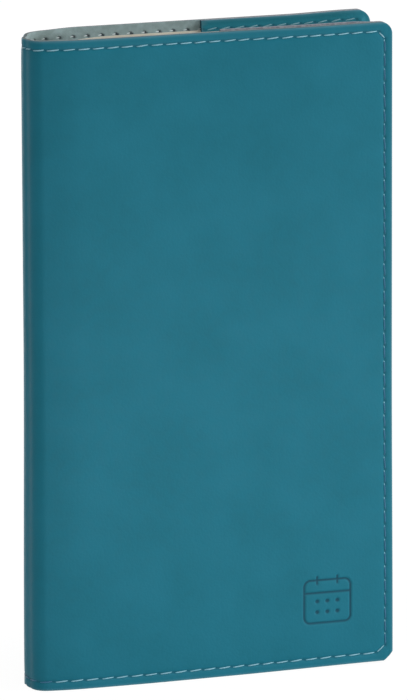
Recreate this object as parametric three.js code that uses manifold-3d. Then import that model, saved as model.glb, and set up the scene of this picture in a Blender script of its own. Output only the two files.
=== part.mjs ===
// Pocket diary: a sewn refill of twelve sections whose card cover is tucked into a soft stitched jacket.
// It stands upright, +Z up, with the front cover towards -Y and the spine towards -X.
// Lengths are in millimetres. The origin is under the middle of the diary, on the surface it stands on.
import * as THREE from "three";
import { mergeVertices } from "three/addons/utils/BufferGeometryUtils.js";
import Module from "manifold-3d";

const wasm = await Module();
wasm.setup();

// Refill
const pageWidth = 88;
const pageHeight = 160;
const leafThickness = 0.065;
const leavesPerSection = 16;
const sectionsPerHalf = 6;
const sectionGap = 0.05; // air between neighbouring sections
const sectionFoldRadius = 0.45; // rounding of a section's folded back
const endpaperThickness = 0.2;
const gauzeThickness = 0.25; // gauze strip glued over the backs of the sections
const gauzeInset = 3.5; // the gauze stops this far short of the block's outer faces
const backRounding = 2.4; // the block's back is rounded, so its outer leaves start this much further in
const sewingThreadRadius = 0.2;
const sewingThreadInset = 11; // head or tail of the page to the nearest sewing hole
const sewingNotch = 0.1; // air round the thread that lies in the middle fold
const cardThickness = 0.4;

// Jacket
const skinThickness = 0.9;
const liningThickness = 0.3;
const flapThickness = 0.7;
const flapWidth = 45.5; // fore edge to the mouth of the pocket
const topCornerRadius = 3.6;
const bottomCornerRadius = 2;
const frontEdgeRadius = 2; // rounding from the front cover into the spine, outside
const backEdgeRadius = 6; // the soft jacket falls into a wider curve behind

// Seam: one row of stitches sunk in a shallow groove round the jacket
const seamInset = 2.3; // jacket edge to the middle of the stitches
const seamWidth = 0.5;
const seamThickness = 0.3;
const grooveWidth = 0.7;
const grooveDepth = 0.4;

// Clearances and margins
const glueLine = 0.03; // between layers that are glued or sewn face to face
const cardSlip = 0.1; // each side of the card inside its pocket
const pageClearance = 0.2; // closed cover to the first leaf
const spineRoom = 1.99; // card to the back of the book block, for the block's turning corners
const foldGap = 0.1; // cut between a cover and the spine, along the fold
const foreMargin = 3; // leaf to the jacket's fore edge
const topMargin = 2.85;
const bottomMargin = 3.15;
const pocketEnd = 0.15; // card to the closed sides of its pocket

// Fold: each cover starts where the rounded spine edge is half way round
const foldAngle = Math.PI / 4;
const arcSteps = 4;

// Depths under the jacket's outer face
const liningDepth = skinThickness + glueLine;
const cardDepth = liningDepth + liningThickness + cardSlip;
const flapDepth = cardDepth + cardThickness + cardSlip;

// Distances from the middle plane of the book block
const sectionThickness = leavesPerSection * leafThickness;
const sectionPitch = sectionThickness + sectionGap;
const endpaperStart = sectionGap / 2 + sectionsPerHalf * sectionPitch;
const halfBlock = endpaperStart + endpaperThickness;
const halfDepth = halfBlock + pageClearance + flapThickness + flapDepth;

// Places along X, from the spine to the fore edge
const refillBackDepth = cardDepth + cardThickness + spineRoom + gauzeThickness + glueLine;
const jacketWidth = refillBackDepth + pageWidth + foreMargin;
const spineX = -jacketWidth / 2;
const foreX = jacketWidth / 2;
const pageBackX = spineX + refillBackDepth;
const pageForeX = pageBackX + pageWidth;
const gauzeFrontX = pageBackX - glueLine;
const gauzeBackX = gauzeFrontX - gauzeThickness;

// Places along Z
const jacketHeight = bottomMargin + pageHeight + topMargin;
const pageTop = bottomMargin + pageHeight;
const seamLevels = [seamInset, jacketHeight - seamInset];

const FRONT = -1;
const BACK = 1;
const edgeRadius = { [FRONT]: frontEdgeRadius, [BACK]: backEdgeRadius };

const colours = {
  skin: new THREE.MeshStandardMaterial({ color: 0x236c7c, roughness: 0.55, metalness: 0 }),
  lining: new THREE.MeshStandardMaterial({ color: 0x738787, roughness: 0.9, metalness: 0 }),
  thread: new THREE.MeshStandardMaterial({ color: 0x78afc3, roughness: 0.7, metalness: 0 }),
  card: new THREE.MeshStandardMaterial({ color: 0xe1d7c8, roughness: 0.8, metalness: 0 }),
  paper: new THREE.MeshStandardMaterial({ color: 0xf2eee2, roughness: 0.85, metalness: 0 }),
  gauze: new THREE.MeshStandardMaterial({ color: 0xe9e4d6, roughness: 0.95, metalness: 0 }),
  sewing: new THREE.MeshStandardMaterial({ color: 0xf7f5ef, roughness: 0.8, metalness: 0 }),
};

// Turns a closed geometry into a solid that can be cut and joined.
function toSolid(geometry) {
  const bare = geometry.clone();
  bare.deleteAttribute("normal");
  bare.deleteAttribute("uv");
  const merged = mergeVertices(bare, 1e-4);
  return new wasm.Manifold(
    new wasm.Mesh({
      numProp: 3,
      vertProperties: new Float32Array(merged.attributes.position.array),
      triVerts: new Uint32Array(merged.index.array),
    }),
  );
}

function fromSolid(solid) {
  const mesh = solid.getMesh();
  const geometry = new THREE.BufferGeometry();
  geometry.setAttribute("position", new THREE.BufferAttribute(mesh.vertProperties, 3));
  geometry.setIndex(new THREE.BufferAttribute(mesh.triVerts, 1));
  geometry.computeVertexNormals();
  return geometry;
}

function piece(name, geometry, material) {
  const mesh = new THREE.Mesh(geometry, material);
  mesh.name = name;
  return mesh;
}

// A plan outline (x, y) raised from one level to another.
function raise(points, bottom, top) {
  const geometry = new THREE.ExtrudeGeometry(new THREE.Shape(points), {
    depth: top - bottom,
    bevelEnabled: false,
  });
  return geometry.translate(0, 0, bottom);
}

// A slab between two x places, two distances from the middle plane on one side, and two levels.
function slab(side, [x0, x1], [y0, y1], [z0, z1]) {
  const geometry = new THREE.BoxGeometry(x1 - x0, y1 - y0, z1 - z0);
  return geometry.translate((x0 + x1) / 2, (side * (y0 + y1)) / 2, (z0 + z1) / 2);
}

// Points of the rounded spine edge at a depth under the outer face, between two angles from the cover.
function spineEdge(side, depth, fromAngle, toAngle) {
  const outerRadius = edgeRadius[side];
  const radius = outerRadius - depth;
  return Array.from({ length: arcSteps + 1 }, (_, i) => {
    const angle = fromAngle + ((toAngle - fromAngle) * i) / arcSteps;
    const x = spineX + outerRadius - radius * Math.sin(angle);
    const y = halfDepth - outerRadius + radius * Math.cos(angle);
    return new THREE.Vector2(x, side * y);
  });
}

// Angle at which a cover's layers (share -1) or the spine's (share 1) end, either side of the fold's cut.
// The seam's groove runs on to the middle of the cut (share 0), so that it is open at its end.
function foldEnd(side, share) {
  return foldAngle + (share * foldGap) / (2 * edgeRadius[side]);
}

// Plan of one layer of a cover between two depths, from an x place at the fore edge round to the fold.
function coverPlan(side, outerDepth, innerDepth, endX, share = -1) {
  const end = foldEnd(side, share);
  return [
    new THREE.Vector2(endX, side * (halfDepth - outerDepth)),
    ...spineEdge(side, outerDepth, 0, end),
    ...spineEdge(side, innerDepth, end, 0),
    new THREE.Vector2(endX, side * (halfDepth - innerDepth)),
  ];
}

// Plan of one layer of the spine between two depths, from fold to fold.
function spinePlan(outerDepth, innerDepth, share = 1) {
  const frontEnd = foldEnd(FRONT, share);
  const backEnd = foldEnd(BACK, share);
  const square = Math.PI / 2;
  return [
    ...spineEdge(FRONT, outerDepth, frontEnd, square),
    ...spineEdge(BACK, outerDepth, square, backEnd),
    ...spineEdge(BACK, innerDepth, backEnd, square),
    ...spineEdge(FRONT, innerDepth, square, frontEnd),
  ];
}

// The outline of a cover seen from the front, with its two rounded corners, as a block through the diary.
function coverOutline() {
  const outline = new THREE.Shape();
  const startX = spineX - skinThickness;
  outline.moveTo(startX, 0);
  outline.lineTo(foreX - bottomCornerRadius, 0);
  outline.absarc(foreX - bottomCornerRadius, bottomCornerRadius, bottomCornerRadius, -Math.PI / 2, 0);
  outline.lineTo(foreX, jacketHeight - topCornerRadius);
  outline.absarc(foreX - topCornerRadius, jacketHeight - topCornerRadius, topCornerRadius, 0, Math.PI / 2);
  outline.lineTo(startX, jacketHeight);
  const block = new THREE.ExtrudeGeometry(outline, {
    depth: 4 * halfDepth,
    bevelEnabled: false,
    curveSegments: 6,
  });
  return toSolid(block.rotateX(Math.PI / 2).translate(0, 2 * halfDepth, 0));
}

// The path of the seam on one cover, as a band of a given width between two depths.
function seamBand(side, outerDepth, innerDepth, width, share) {
  const outerX = foreX - seamInset + width / 2;
  const row = coverPlan(side, outerDepth, innerDepth, outerX, share);
  const columnPlan = [
    row[0],
    new THREE.Vector2(outerX - width, row[0].y),
    new THREE.Vector2(outerX - width, row.at(-1).y),
    row.at(-1),
  ];
  const [bottom, top] = seamLevels;
  const column = toSolid(raise(columnPlan, bottom - width / 2, top + width / 2));
  const bottomRow = toSolid(raise(row, bottom - width / 2, bottom + width / 2));
  const topRow = toSolid(raise(row, top - width / 2, top + width / 2));
  return column.add(bottomRow).add(topRow);
}

// Outer skin of one cover: cut to the outline and grooved for the seam.
function coverSkin(side) {
  const sheet = toSolid(raise(coverPlan(side, 0, skinThickness, foreX), 0, jacketHeight));
  const groove = seamBand(side, -skinThickness, grooveDepth, grooveWidth, 0);
  return fromSolid(sheet.intersect(coverOutline()).subtract(groove));
}

function coverLining(side) {
  const plan = coverPlan(side, liningDepth, liningDepth + liningThickness, foreX);
  return fromSolid(toSolid(raise(plan, 0, jacketHeight)).intersect(coverOutline()));
}

function coverSeam(side) {
  const threadTop = (grooveDepth - seamThickness) / 2;
  return fromSolid(seamBand(side, threadTop, threadTop + seamThickness, seamWidth));
}

// Pocket flap: sewn down on three sides by its rim, and hollow where the card goes in.
function coverFlap(side) {
  const innerFace = halfBlock + pageClearance;
  const rimFace = halfDepth - liningDepth - liningThickness - glueLine;
  const sheet = slab(side, [foreX - flapWidth, foreX], [innerFace, rimFace], [0, jacketHeight]);
  const pocket = slab(
    side,
    [foreX - 2 * flapWidth, pageForeX + pocketEnd],
    [innerFace + flapThickness, halfDepth],
    [bottomMargin - pocketEnd, pageTop + pocketEnd],
  );
  return fromSolid(toSolid(sheet).intersect(coverOutline()).subtract(toSolid(pocket)));
}

function coverCard(side) {
  const plan = coverPlan(side, cardDepth, cardDepth + cardThickness, pageForeX);
  return raise(plan, bottomMargin, pageTop);
}

function makeCover(side, name) {
  const cover = new THREE.Group();
  cover.add(
    piece(`${name}_skin`, coverSkin(side), colours.skin),
    piece(`${name}_lining`, coverLining(side), colours.lining),
    piece(`${name}_pocket_flap`, coverFlap(side), colours.skin),
    piece(`${name}_seam`, coverSeam(side), colours.thread),
    piece(`${name}_card`, coverCard(side), colours.card),
  );
  return cover;
}

function spineSkin() {
  const groovePlan = spinePlan(-skinThickness, grooveDepth, 0);
  const grooves = seamLevels.map((level) =>
    toSolid(raise(groovePlan, level - grooveWidth / 2, level + grooveWidth / 2)),
  );
  const sheet = toSolid(raise(spinePlan(0, skinThickness), 0, jacketHeight));
  return fromSolid(sheet.subtract(grooves[0]).subtract(grooves[1]));
}

function spineSeam(level) {
  const threadTop = (grooveDepth - seamThickness) / 2;
  const plan = spinePlan(threadTop, threadTop + seamThickness);
  return raise(plan, level - seamWidth / 2, level + seamWidth / 2);
}

function makeSpine() {
  const lining = raise(spinePlan(liningDepth, liningDepth + liningThickness), 0, jacketHeight);
  const card = raise(spinePlan(cardDepth, cardDepth + cardThickness), bottomMargin, pageTop);
  const spine = new THREE.Group();
  spine.add(
    piece("spine_skin", spineSkin(), colours.skin),
    piece("spine_lining", lining, colours.lining),
    piece("spine_seam_bottom", spineSeam(seamLevels[0]), colours.thread),
    piece("spine_seam_top", spineSeam(seamLevels[1]), colours.thread),
    piece("spine_card", card, colours.card),
  );
  return spine;
}

// Place along X where leaves start, at a distance from the middle plane: the block's back is rounded.
function leafBackX(innerY) {
  return pageBackX + backRounding * (innerY / halfBlock) ** 2;
}

// Plan of a folded section: square at the fore edge, rounded at the fold.
function sectionPlan(side, innerY) {
  const backX = leafBackX(innerY);
  const outerY = innerY + sectionThickness;
  const radius = Math.min(sectionFoldRadius, sectionThickness / 2);
  const quarter = (centreY, start) =>
    Array.from({ length: arcSteps }, (_, i) => {
      const angle = start + ((Math.PI / 2) * i) / (arcSteps - 1);
      const x = backX + radius - radius * Math.sin(angle);
      return new THREE.Vector2(x, side * (centreY + radius * Math.cos(angle)));
    });
  return [
    new THREE.Vector2(pageForeX, side * outerY),
    ...quarter(outerY - radius, 0),
    ...quarter(innerY + radius, Math.PI / 2),
    new THREE.Vector2(pageForeX, side * innerY),
  ];
}

// The thread lies in the middle fold, so the two sections beside it are notched for it along their backs.
const threadX = pageBackX + sewingNotch + sewingThreadRadius;

function threadNotch() {
  const reach = sewingThreadRadius + sewingNotch;
  return slab(
    BACK,
    [gauzeBackX, threadX + reach],
    [-reach, reach],
    [bottomMargin - sewingThreadRadius, pageTop + sewingThreadRadius],
  );
}

function makeSection(side, index) {
  const innerY = sectionGap / 2 + index * sectionPitch;
  const section = raise(sectionPlan(side, innerY), bottomMargin, pageTop);
  if (index > 0) {
    return section;
  }
  return fromSolid(toSolid(section).subtract(toSolid(threadNotch())));
}

// One half of the book block: its sections from the middle outwards, its endpaper and its gauze.
function makeHalf(side, name, sectionNumber) {
  const half = new THREE.Group();
  for (let index = 0; index < sectionsPerHalf; index += 1) {
    const number = String(sectionNumber(index)).padStart(2, "0");
    half.add(piece(`section_${number}`, makeSection(side, index), colours.paper));
  }
  const levels = [bottomMargin, pageTop];
  const leafSpan = [leafBackX(endpaperStart), pageForeX];
  const endpaper = slab(side, leafSpan, [endpaperStart, halfBlock], levels);
  const gauze = slab(side, [gauzeBackX, gauzeFrontX], [sectionGap / 2, halfBlock - gauzeInset], levels);
  half.add(
    piece(`${name}_endpaper`, endpaper, colours.paper),
    piece(`${name}_gauze`, gauze, colours.gauze),
  );
  return half;
}

function makeSewingThread() {
  const length = pageHeight - 2 * sewingThreadInset;
  const thread = new THREE.CylinderGeometry(sewingThreadRadius, sewingThreadRadius, length, 8);
  thread.rotateX(Math.PI / 2).translate(threadX, 0, bottomMargin + pageHeight / 2);
  return piece("middle_sewing_thread", thread, colours.sewing);
}

const diary = new THREE.Group();
diary.add(
  makeSpine(),
  makeCover(FRONT, "front"),
  makeCover(BACK, "back"),
  makeHalf(FRONT, "front", (index) => sectionsPerHalf - index),
  makeHalf(BACK, "back", (index) => sectionsPerHalf + 1 + index),
  makeSewingThread(),
);

export default diary;
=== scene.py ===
"""Pocket diary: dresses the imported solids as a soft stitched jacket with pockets, card cover and leaves.

The diary stands upright, +Z up, with the front cover towards -Y and the spine towards -X. Lengths are in
metres.
"""
import math
import random

import bmesh
import bpy
from bpy.props import FloatProperty, FloatVectorProperty, IntProperty, PointerProperty
from bpy.types import Operator, Panel, PropertyGroup
from mathutils import Matrix, Vector


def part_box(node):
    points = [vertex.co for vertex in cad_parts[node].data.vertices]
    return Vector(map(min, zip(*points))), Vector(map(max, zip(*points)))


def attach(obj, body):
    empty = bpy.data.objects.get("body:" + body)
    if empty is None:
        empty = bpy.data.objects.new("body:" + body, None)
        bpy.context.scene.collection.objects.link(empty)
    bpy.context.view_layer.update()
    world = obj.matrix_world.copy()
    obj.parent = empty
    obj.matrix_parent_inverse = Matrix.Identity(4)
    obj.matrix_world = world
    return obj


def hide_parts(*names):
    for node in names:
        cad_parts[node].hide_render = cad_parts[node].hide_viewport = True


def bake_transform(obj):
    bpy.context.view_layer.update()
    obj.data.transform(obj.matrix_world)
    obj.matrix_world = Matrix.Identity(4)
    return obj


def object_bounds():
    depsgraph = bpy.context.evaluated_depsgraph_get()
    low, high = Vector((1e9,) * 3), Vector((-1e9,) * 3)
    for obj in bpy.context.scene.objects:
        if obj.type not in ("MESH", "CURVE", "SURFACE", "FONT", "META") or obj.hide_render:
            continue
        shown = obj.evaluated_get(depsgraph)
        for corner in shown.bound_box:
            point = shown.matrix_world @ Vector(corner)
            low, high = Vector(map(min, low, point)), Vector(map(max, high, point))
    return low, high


bl_info = {
    "name": "Pocket Diary",
    "version": (1, 0, 0),
    "blender": (4, 5, 0),
    "location": "3D View > Sidebar > Diary",
    "description": "Jacket, pockets, stitches, card cover, leaves and studio of a pocket diary",
    "category": "Object",
}

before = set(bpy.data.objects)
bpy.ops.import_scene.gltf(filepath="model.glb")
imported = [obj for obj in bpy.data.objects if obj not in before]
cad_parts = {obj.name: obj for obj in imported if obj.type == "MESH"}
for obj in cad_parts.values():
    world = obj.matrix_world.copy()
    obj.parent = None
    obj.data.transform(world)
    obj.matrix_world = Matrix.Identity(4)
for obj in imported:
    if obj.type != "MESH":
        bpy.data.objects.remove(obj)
CAD_BOX = [list(corner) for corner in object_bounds()]

MM = 0.001
FRONT = -1
BACK = 1
SIDES = ((FRONT, "front"), (BACK, "back"))
QUARTER = math.pi / 2

# The solids' own places
SPINE_X = CAD_BOX[0][0]
FORE_X = CAD_BOX[1][0]
HALF_DEPTH = CAD_BOX[1][1]
HEIGHT = CAD_BOX[1][2]
CARD_LOW, CARD_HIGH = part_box("front_card")
PAGE_BOTTOM, PAGE_TOP = CARD_LOW.z, CARD_HIGH.z
PAGE_FORE_X = CARD_HIGH.x
MOUTH_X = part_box("front_pocket_flap")[0].x
FLAP_INNER_DEPTH = HALF_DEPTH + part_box("front_pocket_flap")[1].y

# Places nearer than this count as the same
SAME_PLACE = 0.0001 * MM

# The stamp on the front cover, a plain calendar leaf, from the cover's middle and the bottom edge
STAMP_X, STAMP_Z = 29.8 * MM, 17.4 * MM
STAMP_HALF_WIDTH, STAMP_HALF_HEIGHT, STAMP_CORNER = 6.2 * MM, 5.6 * MM, 1.6 * MM
STAMP_MARGIN_X, STAMP_MARGIN_Z = 2 * MM, 2.6 * MM
STAMP_DEPTH = 0.22 * MM

# The leaf's own marks, from the stamp's middle, and how its lines fade into the smooth leather
BAR_Z = 2.3 * MM
DAYS = [(column * MM, row * MM) for column in (-2.7, 0, 2.7) for row in (0.1, -2.7)]
DAY_RADIUS = 0.25 * MM
RINGS_X, RING_HALF_HEIGHT = (-2.7 * MM, 2.7 * MM), 0.9 * MM
LINE_FADE = (0.15 * MM, 0.48 * MM)

# Where the forms of the drape, the flap's rise and the card's dip begin and end: X from the cover's middle, Z
# upwards. A place is a middle and a reach
ABOVE_LEAVES_Z = (PAGE_TOP - 1.5 * MM, HEIGHT + 0.3 * MM)
FOOT_LIFT_REACH, FOOT_LIFT_Z = 2 * MM, (0, 5 * MM)
FOOT_X, FOOT_Z = (SPINE_X, -30 * MM), (5 * MM, 90 * MM)
FORE_DRAW_X, FORE_DRAW_LOW_Z, FORE_DRAW_HIGH_Z = (0, FORE_X), (0, 85 * MM), (70 * MM, HEIGHT)
FORE_DRAW_LOW_SHARE = 0.75
BACK_DRAW_X = (30 * MM, FORE_X)
BACK_LIFT_X, BACK_LIFT_Z = (25 * MM, 42 * MM), (120 * MM, HEIGHT)
BACK_TUCK_X = (-42 * MM, -30 * MM)
FRONT_TUCK_X, FRONT_TUCK_Z = (-46 * MM, -30 * MM), (20 * MM, 120 * MM)
FRONT_BOW_PLACE, FRONT_BOW_Z = (-18 * MM, 22 * MM), (0, 80 * MM)
FRONT_TOP_BOW_PLACE, FRONT_TOP_BOW_Z = (25 * MM, 15 * MM), (90 * MM, HEIGHT)
CORNER_LIFT_X, CORNER_LIFT_Z = (5 * MM, FORE_X), (0, 15 * MM)
FLAP_RISE_X, FLAP_RISE_Z = (36 * MM, 43 * MM), (HEIGHT - 4 * MM, HEIGHT)
CARD_DIP_X, CARD_DIP_Z = (-38 * MM, -22 * MM), (PAGE_TOP - 8 * MM, PAGE_TOP)

# The seam's marks in the leather: reaches as shares of the groove's, depths as shares of its depth
HOLE_TILT, HOLE_LENGTH, HOLE_WIDTH = math.radians(35), 1.5, 0.8
HOLLOW_REACH, DIMPLE_REACH, HOLE_SEARCH_REACH = 3.2, 0.95, 4
GROOVE_SHARE, HOLLOW_SHARE, DIMPLE_SHARE = 0.55, 0.3, 0.6
OUTSIDE_SHARE, OUTSIDE_WIDTH = 0.75, 1.2 * MM
SEAM_BAND = 3

# Parts of a sheet's thickness that carry marks, how dark they look (pressing, with painted shade in the
# groove, the holes and the pocket mouth), where rims turn pale (wear and a painted highlight), and how the
# seam squeezes the layers
OUTER_PART, INNER_PART = 0.4, 0.6
GROOVE_PRESS_AND_SHADE, SKIN_HOLE_SHADE, LINING_HOLE_SHADE = 0.45, 0.75, 1.8
WEAR_AND_HIGHLIGHT_RIM = (0.05 * MM, 0.6 * MM)
LINING_SQUEEZE = 0.6
FLAP_GROOVE_DEPTH, FLAP_SOFTNESS = 0.12 * MM, 0.12 * MM
FLAP_SEWN_RIM = (1.2 * MM, 2.7 * MM)
MOUTH_SHADE_WIDTH, MOUTH_TURN, FLAP_TOP_EDGE = 0.05 * MM, 0.2 * MM, 0.3 * MM

# Lines of a sheet from a stitched edge inwards, the steps further in, and how finely marks are cut into it
STITCHED_MM = (0, 0.4, 0.8, 1.15, 1.45, 1.7, 1.92, 2.11, 2.3, 2.49, 2.68, 2.9, 3.2, 3.6, 4.2)
STITCHED_LINES = [place * MM for place in STITCHED_MM]
ROUND_STEP, WIDE_STEP, ROUND_MARGIN = 0.5 * MM, 1.9 * MM, 1 * MM
DETAIL_EDGE, PUCKER_WIDTH, PUCKER_CUTS, STAMP_CUTS = 0.9 * MM, 0.85 * MM, 3, 6

# How much flatter than round the bottom corner is
BOTTOM_CORNER_FLATNESS = 0.7

# A stitch: a bead of thread with blunt ends, wider in its middle. Its start dives most and has the other tone
BEAD_SIDES, BEAD_RINGS, BEAD_BLUNTNESS, BEAD_SWELL = 8, 6, 0.6, 0.15
START_DIVE, END_DIVE, OTHER_TONE_BELOW = 1.2, 0.8, -0.55

# Which part of the way from hole to hole the stitches cover, and how much a hand strays
LINING_SPAN, ROW_SPAN, COLUMN_SPAN = (0.66, 0.95), (0.07, 0.93), (0.02, 0.98)
STRAY_SHARE, STRAY_DEGREES, HAND_SEED = 0.03, 2, 5

# How far the stitches' middles lie behind a face, and how much deeper their ends dive
OUTER_SINK, OUTER_DIVE = 0.12 * MM, 0.3 * MM
LINING_SINK, LINING_DIVE = 0.05 * MM, 0.1 * MM
FLAP_SINK, FLAP_DIVE = 0.1 * MM, 0.25 * MM

# Printed lines of a page: space below and above them, their middle and half length, half of a line's width
RULING_FOOT, RULING_HEAD = 9 * MM, 15 * MM
RULING_MIDDLE_X, RULING_HALF_WIDTH = 1.5 * MM, 38 * MM
PRINT_HALF_WIDTH, PRINT_STRENGTH = 0.16 * MM, 0.7

# Colours of patches, of pale rims (wear and a painted highlight), of painted shade on the lining, of the
# gauze's holes and of the sewing thread, as linear values
WEAR_AND_HIGHLIGHT_LEATHER = (0.26, 0.42, 0.48, 1.0)
CORE_PATCHES = (0.1, 0.1, 0.12, 1.0)
LINING_PATCHES = (0.16, 0.21, 0.2, 1.0)
LINING_PAINTED_SHADE = (0.012, 0.02, 0.03, 1.0)
CARD_PATCHES = (0.62, 0.55, 0.45, 1.0)
PAPER_PATCHES = (0.78, 0.74, 0.64, 1.0)
GAUZE_HOLES = (0.45, 0.4, 0.3, 1.0)
LINEN_THREAD = (0.9, 0.88, 0.82)

# Lamps: name, power setting, place, aim, width and height
LAMPS = (
    ("Key Lamp", "key", (1.6, -0.55, 0.68), (0, 0, 0.1), 0.9, 0.9),
    ("Low Lamp", "low", (0.06, -0.2, 0.02), (0.06, 0, 0.02), 0.34, 0.09),
    ("Rim Lamp", "rim", (-0.2, 1.5, 0.35), (0, 0, 0.08), 0.5, 0.8),
    ("Top Lamp", "top", (-0.2, -0.35, 1.6), (0, 0, 0.1), 0.6, 0.6),
)

# The floor, the white of its glow and of the sky, and how far beside the diary's middle the camera aims
WHITE = (1.0, 1.0, 1.0, 1.0)
FLOOR_HALF_WIDTH, FLOOR_COLOUR, FLOOR_GLOW, FLOOR_WHITENESS = 6.0, (0.9, 0.9, 0.9, 1.0), 1.05, 0.9
CAMERA_SHIFT = 0.1 * MM


def length(name, description, default):
    """A property in metres."""
    return FloatProperty(
        name=name, description=description, default=default, unit="LENGTH", precision=5, min=0.0
    )


def number(name, description, default):
    """A property without a unit."""
    return FloatProperty(name=name, description=description, default=default, min=0.0)


def angle(name, description, degrees):
    """A property given in degrees and kept in radians."""
    return FloatProperty(name=name, description=description, default=math.radians(degrees), subtype="ANGLE")


def colour(name, description, red, green, blue):
    """A colour property, from display values between 0 and 255."""
    linear = [((v / 255 + 0.055) / 1.055) ** 2.4 if v > 10 else v / 255 / 12.92 for v in (red, green, blue)]
    return FloatVectorProperty(
        name=name, description=description, default=linear, size=3, subtype="COLOR", min=0.0, max=1.0
    )


class JacketSizes(PropertyGroup):
    """Layers and roundings of the jacket."""

    skin_thickness: length("Skin", "Thickness of the leather skin", 0.9 * MM)
    lining_thickness: length("Lining", "Thickness of the lining", 0.3 * MM)
    flap_thickness: length("Flap", "Thickness of a pocket flap", 0.7 * MM)
    card_thickness: length("Card", "Thickness of the card cover", 0.4 * MM)
    glue_line: length("Glue line", "Space between layers that are fixed face to face", 0.03 * MM)
    card_slip: length("Card slip", "Air on each side of the card in its pocket", 0.1 * MM)
    front_edge_radius: length("Front edge radius", "Rounding from the spine into the front cover", 3 * MM)
    back_edge_radius: length("Back edge radius", "Rounding from the spine into the back cover", 6.6 * MM)
    ridge_radius: length("Ridge radius", "Rounding of the ridge along the spine", 7.5 * MM)
    ridge_swell: length("Ridge swell", "The ridge stands out of the spine's flat", 0.1 * MM)
    ridge_forward: length("Ridge forward", "Middle of the spine to its ridge", 2 * MM)
    front_slope: angle("Front slope", "Slope of the spine from its ridge to the front", 8)
    back_slope: angle("Back slope", "Slope of the spine from its ridge to the back", 16.3)
    front_top_corner: length("Front top corner", "Rounding of the front's top corner", 3.1 * MM)
    back_top_corner: length("Back top corner", "Rounding of the back's top corner", 3.2 * MM)
    bottom_corner: length("Bottom corner", "Rounding of the bottom corners", 2.4 * MM)
    edge_softness: length("Edge softness", "Rounding of the skin's cut edges", 0.22 * MM)
    flap_pinch: length("Flap pinch", "How far the seam pulls a flap towards the lining", 0.3 * MM)
    flap_rise: length("Flap rise", "The front flap stands above the skin's top edge", 0.35 * MM)
    card_rise: length("Card rise", "The card stands above the leaves", 0.22 * MM)
    card_dip: length("Card dip", "The card's top edge falls towards the spine", 0.9 * MM)


class SeamSizes(PropertyGroup):
    """The row of stitches round the jacket."""

    inset: length("Inset", "Jacket edge to the middle of the stitches", 2.3 * MM)
    top_pitch: length("Top pitch", "Hole to hole in the top row", 3.79 * MM)
    bottom_pitch: length("Bottom pitch", "Hole to hole in the bottom row", 3.88 * MM)
    column_pitch: length("Column pitch", "Hole to hole down the fore edge", 3.59 * MM)
    top_cut: length("Top cut", "Fore edge to the top row's last hole", 3.7 * MM)
    bottom_cut: length("Bottom cut", "Fore edge to the bottom row's last hole", 4.6 * MM)
    column_inset: length("Column inset", "Fore edge to the column of stitches", 2.05 * MM)
    thread_radius: length("Thread radius", "Half the width of the thread", 0.13 * MM)
    corner_cut: length("Corner cut", "Top or bottom edge to the column's last hole", 4.2 * MM)
    groove_depth: length("Groove depth", "How deep the thread pulls the skin in", 0.26 * MM)
    groove_reach: length("Groove reach", "Half width of the groove", 0.42 * MM)
    slant: angle("Slant", "Turn of each stitch", 4)
    inner_slant: angle("Inner slant", "Turn of each stitch inside", 10)


class DrapeSizes(PropertyGroup):
    """How the soft jacket departs from flat boards."""

    front_tuck: length("Front tuck", "The front cover draws in near the spine", 0.5 * MM)
    front_nose: length("Front nose", "The front cover falls to its edge along the spine", 1.7 * MM)
    nose_reach: length("Nose reach", "Width of that fall", 13 * MM)
    front_top_tuck: length("Front top tuck", "Extra draw above the leaves, in front", 0.4 * MM)
    back_top_tuck: length("Back top tuck", "Extra draw above the leaves, behind", 2.3 * MM)
    back_top_draw: length("Back top draw", "The back's top edge draws in at the fore edge", 0.3 * MM)
    back_top_lift: length("Back top lift", "The back rises towards its top corner", 0.3 * MM)
    foot_lift: length("Foot lift", "The spine's bottom edge rises at its ridge", 0.6 * MM)
    foot: length("Foot", "The spine spreads towards its bottom", 0.55 * MM)
    front_bow: length("Front bow", "The front cover's low belly", 0.6 * MM)
    front_top_bow: length("Front top bow", "The front cover's belly at the top", 0.8 * MM)
    corner_lift: length("Corner lift", "The bottom edge rises to the fore edge", 0.4 * MM)
    fore_draw: length("Fore draw", "The fore edge draws in towards the top", 0.55 * MM)


class Finishes(PropertyGroup):
    """Colours of the materials."""

    leather: colour("Leather", "Skin of the jacket", 14, 102, 120)
    leather_cloud: colour("Leather cloud", "Lighter patches in the skin", 21, 109, 129)
    # Painted light: the flaps' leather is the jacket's leather made lighter for their shaded place
    flap: colour("Flap", "Leather of the flaps, lightened as painted light", 28, 113, 130)
    flap_cloud_painted_light: colour("Flap cloud, painted light", "Lighter patches in the flaps", 34, 120, 139)
    # Pressing marks, with painted shade in the seam's groove, the needle holes and the pocket mouth
    pressed_and_shaded_leather: colour("Pressed and shaded leather", "Skin pressed down by the seam or the stamp", 16, 66, 84)
    edge: colour("Cut edge", "Core of the skin where it is cut", 108, 122, 122)
    flap_edge: colour("Flap edge", "Core of the flap where it is cut", 162, 164, 174)
    lining: colour("Lining", "Grey green lining", 156, 178, 182)
    thread: colour("Thread", "Seam thread", 150, 205, 222)
    # Painted shade: the seam thread darkened, for the column and the bottom stitches on the spine
    thread_painted_shade: colour("Thread in the column, painted shade", "Seam thread down the fore edge", 40, 108, 148)
    # Painted shade: the seam thread darkened, for the stitches on the flaps
    thread_flap_painted_shade: colour("Thread on the flaps", "Seam thread inside, on the flaps", 128, 178, 192)
    thread_inner: colour("Thread inside", "Seam thread on the lining side", 232, 244, 248)
    card: colour("Card", "Card cover", 242, 236, 222)
    paper: colour("Paper", "Leaves", 240, 235, 220)
    ink: colour("Ruling", "Printed lines on the leaves", 150, 160, 170)
    gauze: colour("Gauze", "Gauze over the backs", 230, 224, 208)


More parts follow.
